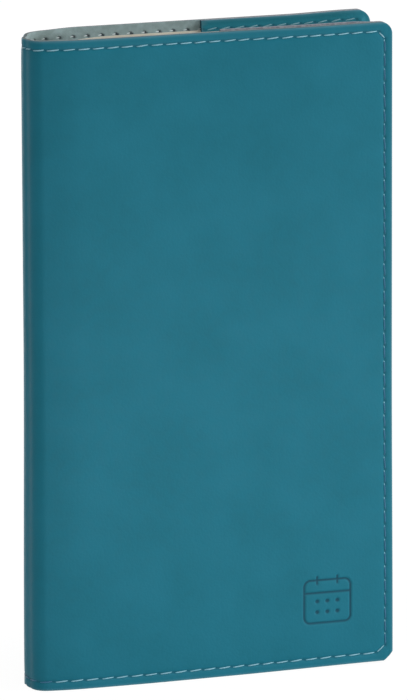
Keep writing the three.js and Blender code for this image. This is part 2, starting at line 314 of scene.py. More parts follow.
class StudioSizes(PropertyGroup):
    """Camera and lamps."""

    distance: length("Camera distance", "Camera to the middle of the diary", 1.86)
    lens: number("Lens", "Focal length in millimetres", 379.2)
    yaw: angle("Yaw", "Camera's turn to the left", 17.87)
    pitch: angle("Pitch", "Camera's height angle", 12.8)
    roll: angle("Roll", "Camera's roll", -0.18)
    sky: number("Sky", "Strength of the even light", 0.38)
    key: number("Key lamp", "Power in watts of the lamp at the right", 24.0)
    low: number("Low lamp", "Power in watts of the wide low lamp", 0.2)
    rim: number("Rim lamp", "Power in watts of the lamp behind the spine", 8.5)
    top: number("Top lamp", "Power in watts of the lamp above", 2.5)


class LeafSizes(PropertyGroup):
    """Leaves of the block."""

    pitch: length("Leaf pitch", "Leaf to leaf in the block", 0.065 * MM)
    lines: IntProperty(name="Lines", description="Printed lines on a page", default=22, min=1)


def settings(name):
    """One of the scene's groups of sizes."""
    return getattr(bpy.context.scene, "diary_" + name)


def ramp(value, start, end):
    """0 before start, 1 after end, smooth between."""
    share = min(max((value - start) / (end - start), 0.0), 1.0)
    return share * share * (3 - 2 * share)


def hump(value, middle, reach):
    """1 in the middle, falling off evenly to both sides."""
    return math.exp(-(((value - middle) / reach) ** 2))


class Half:
    """Shape of the jacket's front or back half.

    along is measured on the outer face from the ridge of the spine, depth inwards from the outer face, and z
    upwards from the bottom edge.
    """

    def __init__(self, side, cover):
        sizes = settings("jacket")
        front = side == FRONT
        self.side, self.cover, self.drape = side, cover, settings("drape")
        self.ridge = sizes.ridge_radius
        self.slope = sizes.front_slope if front else sizes.back_slope
        self.edge = sizes.front_edge_radius if front else sizes.back_edge_radius
        self.corners = (sizes.front_top_corner if front else sizes.back_top_corner, sizes.bottom_corner)
        self.start = Vector((SPINE_X - sizes.ridge_swell, -sizes.ridge_forward))
        self.reach = HALF_DEPTH - side * self.start.y
        sine, cosine = math.sin(self.slope), math.cos(self.slope)
        straight = (self.reach - self.ridge * sine - self.edge * (1 - sine)) / cosine
        self.ridge_run = self.ridge * self.slope
        self.edge_run = self.ridge_run + straight
        self.run = self.edge_run + self.edge * (QUARTER - self.slope)
        self.edge_x = self.start.x + self.ridge * (1 - cosine) + straight * sine + self.edge * cosine
        self.fore = self.along_at(FORE_X)

    def along_at(self, x):
        """Length along the outer face to an x place on the cover's flat part."""
        return self.run + x - self.edge_x

    def point(self, along, depth, z):
        """Place in the object's frame of a point of the jacket."""
        if along < self.edge_run:
            turn = min(along / self.ridge, self.slope)
            on = max(along - self.ridge_run, 0.0)
            x = self.start.x + self.ridge * (1 - math.cos(turn)) + on * math.sin(turn)
            y = self.ridge * math.sin(turn) + on * math.cos(turn)
        else:
            turn = min(self.slope + (along - self.edge_run) / self.edge, QUARTER)
            x = self.edge_x - self.edge * math.cos(turn) + max(along - self.run, 0.0)
            y = self.reach - self.edge * (1 - math.sin(turn))
        x += depth * math.cos(turn)
        y -= depth * math.sin(turn)
        inward, lift, draw = self.draped(along, x, z)
        return Vector((x - draw, self.start.y + self.side * (y - inward), z + lift))

    def draped(self, along, x, z):
        """How far the soft jacket lies inwards of the boards, lifts at its edges and draws in along x."""
        sizes = self.drape
        turn = ramp(along, 0, self.edge_run)
        above = ramp(z, *ABOVE_LEAVES_Z)
        near_ridge = 1 - min(max(along / FOOT_LIFT_REACH, 0.0), 1.0)
        lift = sizes.foot_lift * (1 - math.sqrt(1 - near_ridge**2)) * (1 - ramp(z, *FOOT_LIFT_Z))
        low, high = ramp(z, *FORE_DRAW_LOW_Z), ramp(z, *FORE_DRAW_HIGH_Z)
        rise = FORE_DRAW_LOW_SHARE * low + (1 - FORE_DRAW_LOW_SHARE) * high
        draw = sizes.fore_draw * rise * ramp(x, *FORE_DRAW_X)
        draw += sizes.foot * (1 - ramp(z, *FOOT_Z)) * (1 - ramp(x, *FOOT_X))
        if self.side == BACK:
            draw += sizes.back_top_draw * ramp(x, *BACK_DRAW_X) * above
            lift += sizes.back_top_lift * ramp(x, *BACK_LIFT_X) * ramp(z, *BACK_LIFT_Z)
            return sizes.back_top_tuck * (1 - ramp(x, *BACK_TUCK_X)) * above * turn, lift, draw
        near = 1 - ramp(x, *FRONT_TUCK_X)
        inward = near * (sizes.front_tuck * ramp(z, *FRONT_TUCK_Z) + sizes.front_top_tuck * above)
        inward += sizes.front_nose * (1 - min(max((x - SPINE_X) / sizes.nose_reach, 0.0), 1.0)) ** 2
        inward -= sizes.front_bow * hump(x, *FRONT_BOW_PLACE) * (1 - ramp(z, *FRONT_BOW_Z))
        inward -= sizes.front_top_bow * hump(x, *FRONT_TOP_BOW_PLACE) * ramp(z, *FRONT_TOP_BOW_Z)
        lift += sizes.corner_lift * ramp(x, *CORNER_LIFT_X) * (1 - ramp(z, *CORNER_LIFT_Z))
        return inward * turn, lift, draw


class Seam:
    """One cover's seam in the flat: its holes, its straight legs, and how it pulls the leather in."""

    def __init__(self, half):
        self.sizes = settings("seam")
        self.half, self.fore = half, half.fore
        self.front_fore = Half(FRONT, "front").fore
        sizes = self.sizes
        high, low = HEIGHT - sizes.corner_cut, sizes.corner_cut
        steps = round((high - low) / sizes.column_pitch)
        column_along = self.fore - sizes.column_inset
        self.column = [(column_along, high + (low - high) * i / steps) for i in range(steps + 1)]
        self.top = [(along, HEIGHT - sizes.inset) for along in self.row(sizes.top_pitch, sizes.top_cut)]
        self.bottom = [(along, sizes.inset) for along in self.row(sizes.bottom_pitch, sizes.bottom_cut)]
        self.legs = [
            (self.top[0], self.top[-1]),
            (self.top[-1], self.column[0]),
            (self.column[0], self.column[-1]),
            (self.column[-1], self.bottom[-1]),
            (self.bottom[-1], self.bottom[0]),
        ]
        self.holes = [Vector(hole) for hole in (*self.top, *self.column, *self.bottom)]
        self.known = {}

    def row(self, pitch, cut):
        """Holes of a row, from the ridge to the fore edge. The front's first stitch crosses the ridge."""
        front_end = self.front_fore - cut
        count = math.ceil(front_end / pitch)
        over = count * pitch - front_end
        if self.half.side == FRONT:
            return [front_end - pitch * i for i in range(count, -1, -1)]
        end = self.fore - cut
        count = round((end - over) / pitch)
        return [over + (end - over) * i / count for i in range(count + 1)]

    def distance(self, point, leg):
        """Distance from a place to a straight leg of the seam."""
        start = Vector(leg[0])
        run = Vector(leg[1]) - start
        share = min(max((point - start).dot(run) / run.length_squared, 0.0), 1.0)
        return (point - start - run * share).length

    def hole_distance(self, off):
        """Distance from a hole's middle, shorter along its length, which runs down to the fore edge."""
        lengthwise = off.x * math.cos(HOLE_TILT) - off.y * math.sin(HOLE_TILT)
        crosswise = off.x * math.sin(HOLE_TILT) + off.y * math.cos(HOLE_TILT)
        return math.hypot(lengthwise / HOLE_LENGTH, crosswise / HOLE_WIDTH)

    def pull(self, along, z):
        """How strongly the seam pulls the leather in at a place, and how near a hole it is, both from 0."""
        if min(z, HEIGHT - z, self.fore - along) > SEAM_BAND * self.sizes.inset:
            return 0.0, 0.0
        key = (round(along * 1e6), round(z * 1e6))
        if key not in self.known:
            point = Vector((along, z))
            reach = self.sizes.groove_reach
            line = min(self.distance(point, leg) for leg in self.legs)
            outside = 1 - ramp(self.fore - along, OUTSIDE_WIDTH, self.sizes.column_inset)
            hollow = max(hump(line, 0, HOLLOW_REACH * reach), OUTSIDE_SHARE * outside)
            dimple = 0.0
            if line < HOLE_SEARCH_REACH * reach:
                hole = min(self.hole_distance(point - middle) for middle in self.holes)
                dimple = hump(hole, 0, DIMPLE_REACH * reach)
            groove = hump(line, 0, reach)
            depth = GROOVE_SHARE * groove + HOLLOW_SHARE * hollow + DIMPLE_SHARE * dimple
            self.known[key] = (depth, dimple)
        return self.known[key]


def stamp_distance(x, z):
    """Distance to the lines of the plain calendar leaf pressed into the front cover's corner."""
    across, up = x - STAMP_X, z - STAMP_Z
    over = Vector((abs(across) - STAMP_HALF_WIDTH + STAMP_CORNER, abs(up) - STAMP_HALF_HEIGHT + STAMP_CORNER))
    outside = Vector((max(over.x, 0), max(over.y, 0))).length
    box = abs(outside + min(max(over), 0) - STAMP_CORNER)
    bar = math.hypot(max(abs(across) - STAMP_HALF_WIDTH, 0), up - BAR_Z)
    days = min(math.hypot(across - day[0], up - day[1]) for day in DAYS)
    height = max(abs(up - STAMP_HALF_HEIGHT) - RING_HALF_HEIGHT, 0)
    rings = min(math.hypot(across - ring, height) for ring in RINGS_X)
    return min(box, bar, rings, max(days - DAY_RADIUS, 0))


def near_stamp(x, z, margin=0.0):
    """Whether a place on the front cover is on the stamp or just round it."""
    beside = abs(x - STAMP_X) < STAMP_HALF_WIDTH + STAMP_MARGIN_X + margin
    return beside and abs(z - STAMP_Z) < STAMP_HALF_HEIGHT + STAMP_MARGIN_Z + margin


def wear_and_highlight_rim(distance):
    """How pale the leather turns at a distance from its cut edge: wear, and partly a painted highlight."""
    return 1 - ramp(distance, *WEAR_AND_HIGHLIGHT_RIM)


def rulings(full, fine_start, fine_end, dense=0.0):
    """Places of the sheet's lines: close together near a stitched edge and round the spine, wider between."""
    start = STITCHED_LINES if fine_start else [0.0]
    end = [full - v for v in reversed(STITCHED_LINES)] if fine_end else [full]
    places = list(start)
    while places[-1] < dense:
        places.append(places[-1] + ROUND_STEP)
    first = places[-1]
    count = max(1, round((end[0] - first) / WIDE_STEP))
    places += [first + (end[0] - first) * i / count for i in range(1, count)]
    return places + end


def refine(sheet, level, near_enough, cuts):
    """Adds lines across the edges of one face of the sheet that are long and lie where near_enough says."""
    chosen = [
        edge
        for edge in sheet.edges
        if edge.calc_length() > DETAIL_EDGE
        and all(abs(vert.co.y - level) < SAME_PLACE for vert in edge.verts)
        and all(near_enough(vert.co.x, vert.co.z) for vert in edge.verts)
    ]
    bmesh.ops.subdivide_edges(sheet, edges=chosen, cuts=cuts, use_grid_fill=True)


def round_corner(along, z, fore, low, high, radii):
    """Bends the sheet's square corners at the fore edge: round at the top, flatter at the bottom."""
    corners = (high, 1, radii[0], 0.0), (low, -1, radii[1], BOTTOM_CORNER_FLATNESS)
    for level, direction, radius, flatness in corners:
        across = (along - fore + radius) / radius
        up = (direction * (z - level) + radius) / radius
        if across > 0 and up > 0:
            round_across = across * math.sqrt(1 - up * up / 2)
            round_up = up * math.sqrt(1 - across * across / 2)
            spread = math.hypot(round_across, round_up)
            shrink = ((round_across + round_up) / spread) ** (-flatness * spread)
            along = fore - radius + radius * round_across * shrink
            z = level + direction * (radius * round_up * shrink - radius)
    return along, z


def flat_sheet(lines_along, lines_up, thickness, radii=None):
    """A flat sheet of leather as a closed slab: x along, y through its thickness and z up."""
    sheet = bmesh.new()
    columns, rows = len(lines_along) - 1, len(lines_up) - 1
    bmesh.ops.create_grid(sheet, x_segments=columns, y_segments=rows, size=1)
    fore, low, high = lines_along[-1], lines_up[0], lines_up[-1]
    for vert in sheet.verts:
        along = lines_along[round((vert.co.x + 1) / 2 * columns)]
        z = lines_up[round((vert.co.y + 1) / 2 * rows)]
        if radii:
            along, z = round_corner(along, z, fore, low, high, radii)
        vert.co = Vector((along, 0, z))
    far = bmesh.ops.extrude_face_region(sheet, geom=sheet.faces[:])
    moved = [item for item in far["geom"] if isinstance(item, bmesh.types.BMVert)]
    bmesh.ops.translate(sheet, verts=moved, vec=(0, thickness, 0))
    bmesh.ops.recalc_face_normals(sheet, faces=sheet.faces[:])
    return sheet


def soften_rim(sheet, level, offset, keep_along):
    """Rounds the sheet's free edges on one of its faces, apart from the end where its two halves meet."""
    rim = [
        edge
        for edge in sheet.edges
        if len(edge.link_faces) == 2
        and all(abs(vert.co.y - level) < SAME_PLACE for vert in edge.verts)
        and abs(edge.link_faces[0].normal.y) + abs(edge.link_faces[1].normal.y) < 1.5
        and max(vert.co.x for vert in edge.verts) > keep_along + SAME_PLACE
    ]
    form = {"offset": offset, "offset_type": "OFFSET", "segments": 3, "profile": 0.5}
    bmesh.ops.bevel(sheet, geom=rim, affect="EDGES", material=-1, **form)


def name_faces(sheet):
    """Face materials: 0 outside, 1 cut edge, 2 inside."""
    sheet.normal_update()
    for face in sheet.faces:
        facing = face.normal.y
        face.material_index = 0 if facing < -0.25 else 2 if facing > 0.25 else 1
        face.smooth = True


def lay_flat_coordinates(sheet):
    """Keeps the places of the unbent sheet as its flat coordinates."""
    flat = sheet.loops.layers.uv.new("Flat")
    for face in sheet.faces:
        for loop in face.loops:
            loop[flat].uv = (loop.vert.co.x, loop.vert.co.z)


def bend_sheet(sheet, half, thickness, depth_of, marks=None):
    """Bends a flat sheet round the jacket, at the depth of depth_of and with the marks of pressing and
    painted shade, and of wear and painted highlight.
    """
    lay_flat_coordinates(sheet)
    pressed = sheet.verts.layers.float.new("pressed")
    worn = sheet.verts.layers.float.new("worn")
    for vert in sheet.verts:
        along, z, share = vert.co.x, vert.co.z, vert.co.y / thickness
        if marks:
            vert[pressed], vert[worn] = marks(along, z, share)
        vert.co = half.point(along, depth_of(along, z, share), z)
    if half.side == BACK:
        bmesh.ops.reverse_faces(sheet, faces=sheet.faces[:])


def piece_from(sheet, name, materials, sharp=40):
    """The finished mesh as an object in the scene."""
    mesh = bpy.data.meshes.new(name)
    sheet.to_mesh(mesh)
    sheet.free()
    mesh.set_sharp_from_angle(angle=math.radians(sharp))
    made = bpy.data.objects.new(name, mesh)
    bpy.context.scene.collection.objects.link(made)
    for material in materials:
        mesh.materials.append(material)
    if len(mesh.polygons) == 0:
        raise RuntimeError(f"{name} has no faces")
    return made


def hang(piece):
    """Bakes the piece's place into its mesh."""
    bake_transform(piece)


# Node helpers
def fill(tree, node, sockets):
    """Fills a node's sockets with values or with other nodes' outputs, and returns the node."""
    for key, value in sockets.items():
        if isinstance(value, bpy.types.NodeSocket):
            tree.links.new(value, node.inputs[key])
        else:
            node.inputs[key].default_value = value
    return node


def add(tree, kind, sockets=None, **options):
    """Adds a node, sets its options and fills its sockets."""
    made = tree.nodes.new(kind)
    for option, value in options.items():
        setattr(made, option, value)
    return fill(tree, made, sockets or {})


def sums(tree, operation, *values):
    """Output of a Math node."""
    return add(tree, "ShaderNodeMath", dict(enumerate(values)), operation=operation).outputs[0]


def parts(tree, vector):
    """A vector's three parts."""
    return add(tree, "ShaderNodeSeparateXYZ", {0: vector}).outputs


def blend_colours(tree, factor, first, second):
    """Output of a colour mix."""
    return add(tree, "ShaderNodeMix", {0: factor, 6: first, 7: second}, data_type="RGBA").outputs[2]


def darken(tree, tint, shade):
    """A colour times a shade between 0 and 1."""
    return add(tree, "ShaderNodeVectorMath", {0: tint, "Scale": shade}, operation="SCALE").outputs[0]


def stretch(tree, value, low, high, to_low=0.0, to_high=1.0):
    """Output of a clamped Map Range."""
    limits = {"From Min": low, "From Max": high, "To Min": to_low, "To Max": to_high}
    return add(tree, "ShaderNodeMapRange", {"Value": value, **limits}).outputs[0]


def ridges(tree, place, turns):
    """A sine along a place, and its size as ridges."""
    wave = sums(tree, "SINE", sums(tree, "MULTIPLY", place, turns))
    return wave, sums(tree, "ABSOLUTE", wave)


def rgba(colour_value):
    """A colour without transparency."""
    return (*colour_value, 1.0)


def open_group(name, inputs, outputs):
    """A new shader node group with its named sockets; returns the tree, its inputs and its output node."""
    tree = bpy.data.node_groups.new(name, "ShaderNodeTree")
    kinds = {"f": "NodeSocketFloat", "v": "NodeSocketVector", "c": "NodeSocketColor"}
    for direction, wanted in (("INPUT", inputs), ("OUTPUT", outputs)):
        for socket, kind in wanted.items():
            tree.interface.new_socket(name=socket, in_out=direction, socket_type=kinds[kind])
    return tree, tree.nodes.new("NodeGroupInput").outputs, tree.nodes.new("NodeGroupOutput")


def grain_group():
    """Pebbled grain with creases, as a height."""
    tree, given, out = open_group(
        "Leather Grain", {"Vector": "v", "Pebble Size": "f", "Crease": "f"}, {"Height": "f"}
    )
    where = given["Vector"]
    scale = sums(tree, "DIVIDE", 1.0, given["Pebble Size"])
    cells = add(
        tree,
        "ShaderNodeTexVoronoi",
        {"Vector": where, "Scale": scale, "Randomness": 0.9},
        feature="SMOOTH_F1",
        voronoi_dimensions="2D",
    )
    wide_scale = sums(tree, "MULTIPLY", scale, 0.5)
    wide = add(tree, "ShaderNodeTexNoise", {"Vector": where, "Scale": wide_scale, "Detail": 4.0})
    off_middle = sums(tree, "SUBTRACT", wide.outputs[0], 0.5)
    creases = sums(tree, "MULTIPLY", sums(tree, "ABSOLUTE", off_middle), 2.0)
    pebbles = sums(tree, "SUBTRACT", 1.0, cells.outputs["Distance"])
    fill(tree, out, {"Height": sums(tree, "MULTIPLY_ADD", creases, given["Crease"], pebbles)})
    return tree


def cloud_group():
    """Soft patches of a second colour, and a mask that is 1 on them."""
    tree, given, out = open_group(
        "Cloudy Colour",
        {"Vector": "v", "Colour": "c", "Patch Colour": "c", "Patch Size": "f", "Amount": "f"},
        {"Colour": "c", "Mask": "f"},
    )
    scale = sums(tree, "DIVIDE", 1.0, given["Patch Size"])
    sockets = {"Vector": given["Vector"], "Scale": scale, "Detail": 3.0, "Roughness": 0.45}
    noise = add(tree, "ShaderNodeTexNoise", sockets)
    mask = stretch(tree, noise.outputs[0], 0.36, 0.64)
    factor = sums(tree, "MULTIPLY", mask, given["Amount"])
    mixed = blend_colours(tree, factor, given["Colour"], given["Patch Colour"])
    fill(tree, out, {"Colour": mixed, "Mask": mask})
    return tree


def weave_group():
    """Plain weave as a height, and a mask that is 1 on the threads and 0 in the holes."""
    tree, given, out = open_group(
        "Plain Weave", {"Vector": "v", "Thread Pitch": "f", "Open": "f"}, {"Height": "f", "Mask": "f"}
    )
    place = parts(tree, given["Vector"])
    turns = sums(tree, "DIVIDE", math.pi, given["Thread Pitch"])
    warp, warp_ridge = ridges(tree, place[0], turns)
    weft, weft_ridge = ridges(tree, place[1], turns)
    highest = sums(tree, "MAXIMUM", warp_ridge, weft_ridge)
    crossing = sums(tree, "MULTIPLY", sums(tree, "MULTIPLY", warp, weft), 0.4)
    mask = sums(tree, "GREATER_THAN", highest, given["Open"])
    fill(tree, out, {"Height": sums(tree, "ADD", highest, crossing), "Mask": mask})
    return tree


def twist_group():
    """The slanting strands of a twisted thread, as a height."""
    tree, given, out = open_group("Thread Twist", {"Vector": "v", "Strand": "f"}, {"Height": "f"})
    place = parts(tree, given["Vector"])
    slanted = sums(tree, "ADD", place[0], sums(tree, "MULTIPLY", place[1], 1.3))
    turns = sums(tree, "DIVIDE", math.pi, given["Strand"])
    fill(tree, out, {"Height": ridges(tree, slanted, turns)[1]})
    return tree


def leaves_group():
    """Leaf edges: painted shade between the leaves as dark and light lines across the block's thickness, with
    a few leaves standing out.
    """
    tree, given, out = open_group(
        "Leaf Edges", {"Vector": "v", "Leaf Pitch": "f", "Colour": "c"}, {"Colour": "c", "Height": "f"}
    )
    across = sums(tree, "DIVIDE", parts(tree, given["Vector"])[1], given["Leaf Pitch"])
    line = ridges(tree, across, math.pi)[1]
    drift = sums(tree, "MULTIPLY", across, 0.31)
    sockets = {"W": drift, "Scale": 1.0, "Detail": 3.0}
    wander = add(tree, "ShaderNodeTexNoise", sockets, noise_dimensions="1D").outputs[0]
    # Painted shade between the leaves
    shade_between_leaves = stretch(tree, line, 0.0, 0.5, 0.6, 1.0)
    tones = stretch(tree, wander, 0.3, 0.7, 0.82, 1.0)
    tint = darken(tree, given["Colour"], sums(tree, "MULTIPLY", shade_between_leaves, tones))
    fill(tree, out, {"Colour": tint, "Height": sums(tree, "ADD", line, wander)})
    return tree


def place_group(tree, name, **sockets):
    """Outputs of a node group in a material. The group is built the first time it is asked for."""
    builders = {
        "Leather Grain": grain_group,
        "Cloudy Colour": cloud_group,
        "Plain Weave": weave_group,
        "Thread Twist": twist_group,
        "Leaf Edges": leaves_group,
    }
    group = bpy.data.node_groups.get(name) or builders[name]()
    node = add(tree, "ShaderNodeGroup", node_tree=group)
    return fill(tree, node, {key.replace("_", " "): value for key, value in sockets.items()}).outputs


def clouded(tree, where, base, patches, size, amount):
    """A colour with soft patches of a second one."""
    return place_group(
        tree, "Cloudy Colour", Vector=where, Colour=base, Patch_Colour=patches, Patch_Size=size, Amount=amount
    )


def open_material(name, roughness, specular, sheen=0.0):
    """A new material with a bare Principled surface; returns it, its tree and its shader."""
    material = bpy.data.materials.new(name)
    material.use_nodes = True
    tree = material.node_tree
    shader = tree.nodes["Principled BSDF"]
    fill(tree, shader, {"Roughness": roughness, "Specular IOR Level": specular, "Sheen Weight": sheen})
    return material, tree, shader


def connect(tree, shader, tint, height, relief, **sockets):
    """Joins a colour, a height in relief and other values to the shader."""
    bump = add(tree, "ShaderNodeBump", {"Height": height, "Distance": relief, "Strength": 1.0})
    fill(tree, shader, {"Base Color": tint, "Normal": bump.outputs[0], **sockets})


def once(make):
    """Lets a maker of materials make each named material only once."""

    def kept(name, *details):
        return bpy.data.materials.get(name) or make(name, *details)

    return kept


def flat_coordinates(tree):
    """The sheet's own flat coordinates, in metres."""
    return add(tree, "ShaderNodeUVMap", uv_map="Flat").outputs[0]


def object_coordinates(tree):
    """Places in the object's frame, in metres."""
    return tree.nodes.new("ShaderNodeTexCoord").outputs["Object"]


def turned_coordinates(tree, rotation):
    """Places in the object's frame, turned so that a pattern runs along the piece."""
    sockets = {"Vector": object_coordinates(tree), "Rotation": rotation}
    return add(tree, "ShaderNodeMapping", sockets).outputs[0]


def attribute(tree, name):
    """A share that is kept on the sheet's points."""
    return add(tree, "ShaderNodeAttribute", attribute_name=name).outputs["Fac"]


@once
def leather_material(name, tint, cloud):
    """Soft smooth leather: cloudy colour, fine grain, darker at pressing marks with painted shade in the
    groove and holes, and paler at the rims from wear and a painted highlight.
    """
    material, tree, shader = open_material(name, roughness=0.5, specular=0.16)
    where = flat_coordinates(tree)
    wide = clouded(tree, where, rgba(tint), rgba(cloud), size=16 * MM, amount=0.7)
    fine = clouded(tree, where, wide["Colour"], rgba(cloud), size=2.2 * MM, amount=0.25)
    # Darker at pressing marks, partly painted shade in the groove and holes
    pressed = stretch(tree, attribute(tree, "pressed"), 0.25, 1.0, 0.0, 0.88)
    coloured = blend_colours(tree, pressed, fine["Colour"], rgba(settings("finish").pressed_and_shaded_leather))
    # Paler rims: wear, and partly a painted highlight
    worn = sums(tree, "MULTIPLY", attribute(tree, "worn"), 0.22)
    pale = blend_colours(tree, worn, coloured, WEAR_AND_HIGHLIGHT_LEATHER)
    grain = place_group(tree, "Leather Grain", Vector=where, Pebble_Size=0.7 * MM, Crease=0.8)
    rough = stretch(tree, fine["Mask"], 0.0, 1.0, 0.46, 0.54)
    connect(tree, shader, pale, grain["Height"], relief=0.022 * MM, Roughness=rough)
    return material


def skin_material():
    """Leather of the jacket's skin."""
    finish = settings("finish")
    return leather_material("Jacket Leather", finish.leather, finish.leather_cloud)


def flap_painted_light_material():
    """Leather of the pocket flaps: the jacket's leather made lighter, as painted light for their shaded place
    inside the covers.
    """
    finish = settings("finish")
    return leather_material("Flap Leather", finish.flap, finish.flap_cloud_painted_light)


@once
def core_material(name, tint):
    """Cut edge of the leather: a fibrous core of one colour."""
    material, tree, shader = open_material(name, roughness=0.9, specular=0.2)
    where = object_coordinates(tree)
    fibres = clouded(tree, where, rgba(tint), CORE_PATCHES, size=0.9 * MM, amount=0.5)
    connect(tree, shader, fibres["Colour"], fibres["Mask"], relief=0.05 * MM)
    return material


@once
def lining_material(name):
    """Grey green lining with a fine nap and weave, darkened as painted shade at the needle holes."""
    material, tree, shader = open_material(name, roughness=0.92, specular=0.15, sheen=0.15)
    where = flat_coordinates(tree)
    cloudy = clouded(tree, where, rgba(settings("finish").lining), LINING_PATCHES, size=1.6 * MM, amount=0.35)
    pressed = stretch(tree, attribute(tree, "pressed"), 0.2, 0.9, 0.0, 0.9)
    coloured = blend_colours(tree, pressed, cloudy["Colour"], LINING_PAINTED_SHADE)
    weave = place_group(tree, "Plain Weave", Vector=where, Thread_Pitch=0.35 * MM, Open=0.0)
    nap = sums(tree, "ADD", weave["Height"], cloudy["Mask"])
    connect(tree, shader, coloured, nap, relief=0.03 * MM)
    return material


def twisted(tree, shader, where, tint, strand, darkest, relief):
    """Gives a shader the look of twisted thread, with painted shade between the strands, down to darkest."""
    height = place_group(tree, "Thread Twist", Vector=where, Strand=strand)["Height"]
    shade = stretch(tree, height, 0.0, 0.6, darkest, 1.0)
    connect(tree, shader, darken(tree, tuple(tint), shade), height, relief)


@once
def thread_material(name, tint):
    """Twisted sewing thread of one colour."""
    material, tree, shader = open_material(name, roughness=0.55, specular=0.4, sheen=0.3)
    twisted(tree, shader, flat_coordinates(tree), tint, strand=0.28 * MM, darkest=0.55, relief=0.06 * MM)
    return material


@once
def linen_material(name):
    """White linen thread of the binding."""
    material, tree, shader = open_material(name, roughness=0.8, specular=0.2)
    where = turned_coordinates(tree, (QUARTER, 0, 0))
    twisted(tree, shader, where, LINEN_THREAD, strand=0.3 * MM, darkest=0.6, relief=0.05 * MM)
    return material


@once
def card_material(name):
    """Cream card with faint fibres."""
    material, tree, shader = open_material(name, roughness=0.75, specular=0.3)
    where = object_coordinates(tree)
    fibres = clouded(tree, where, rgba(settings("finish").card), CARD_PATCHES, size=3 * MM, amount=0.3)
    connect(tree, shader, fibres["Colour"], fibres["Mask"], relief=0.01 * MM)
    return material


def printed_lines(tree, where):
    """How strongly a page is printed at a place: its ruled lines, inside the margins."""
    place, count = parts(tree, where), settings("leaves").lines
    pitch = (PAGE_TOP - PAGE_BOTTOM - RULING_FOOT - RULING_HEAD) / count
    level = sums(tree, "DIVIDE", sums(tree, "SUBTRACT", place[2], PAGE_BOTTOM + RULING_FOOT), pitch)
    line = sums(tree, "LESS_THAN", sums(tree, "PINGPONG", level, 0.5), PRINT_HALF_WIDTH / pitch)
    aside = sums(tree, "ABSOLUTE", sums(tree, "SUBTRACT", place[0], RULING_MIDDLE_X))
    inside = sums(tree, "LESS_THAN", aside, RULING_HALF_WIDTH)
    from_middle = sums(tree, "ABSOLUTE", sums(tree, "SUBTRACT", level, count / 2))
    body = sums(tree, "LESS_THAN", from_middle, count / 2 + 0.2)
    strength = sums(tree, "MULTIPLY", body, PRINT_STRENGTH)
    return sums(tree, "MULTIPLY", sums(tree, "MULTIPLY", line, inside), strength)


@once
def paper_material(name, ruled):
    """Cream paper: leaf lines of painted shade on the cut edges, and printed lines on the faces of ruled
    pages.
    """
    finish = settings("finish")
    paper = rgba(finish.paper)
    material, tree, shader = open_material(name, roughness=0.85, specular=0.2)
    where = object_coordinates(tree)
    leaves = place_group(tree, "Leaf Edges", Vector=where, Leaf_Pitch=settings("leaves").pitch, Colour=paper)
    page = clouded(tree, where, paper, PAPER_PATCHES, size=2 * MM, amount=0.25)["Colour"]
    if ruled:
        page = blend_colours(tree, printed_lines(tree, where), page, rgba(finish.ink))
    facing = parts(tree, tree.nodes.new("ShaderNodeTexCoord").outputs["Normal"])
    on_face = sums(tree, "GREATER_THAN", sums(tree, "ABSOLUTE", facing[1]), 0.8)
    mixed = blend_colours(tree, on_face, leaves["Colour"], page)
    height = sums(tree, "MULTIPLY", leaves["Height"], sums(tree, "SUBTRACT", 1.0, on_face))
    connect(tree, shader, mixed, height, relief=0.03 * MM)
    return material


@once
def gauze_material(name):
    """Open cotton weave glued to the backs of the sections."""
    material, tree, shader = open_material(name, roughness=0.95, specular=0.1)
    where = turned_coordinates(tree, (0, QUARTER, QUARTER))
    weave = place_group(tree, "Plain Weave", Vector=where, Thread_Pitch=0.9 * MM, Open=0.55)
    coloured = blend_colours(tree, weave["Mask"], GAUZE_HOLES, rgba(settings("finish").gauze))
    connect(tree, shader, coloured, weave["Height"], relief=0.1 * MM)
    return material


def layer_sheet(half, thickness, start=0.0, rise=0.0):
    """Flat sheet of one layer of a jacket half, from a length along the jacket to the fore edge."""
    dense = 0.0 if start else half.run + ROUND_MARGIN
    lines_along = [start + v for v in rulings(half.fore - start, False, True, dense)]
    return flat_sheet(lines_along, rulings(HEIGHT + rise, True, True), thickness, half.corners)


def lining_depth(sizes):
    """Depth of the lining's inner face."""
    return sizes.skin_thickness + sizes.glue_line + sizes.lining_thickness


def refine_seam(sheet, level, seam):
    """Adds the lines that the pucker round each hole needs."""

    def by_seam(along, z):
        return min(seam.distance(Vector((along, z)), leg) for leg in seam.legs) < PUCKER_WIDTH

    refine(sheet, level, by_seam, PUCKER_CUTS)


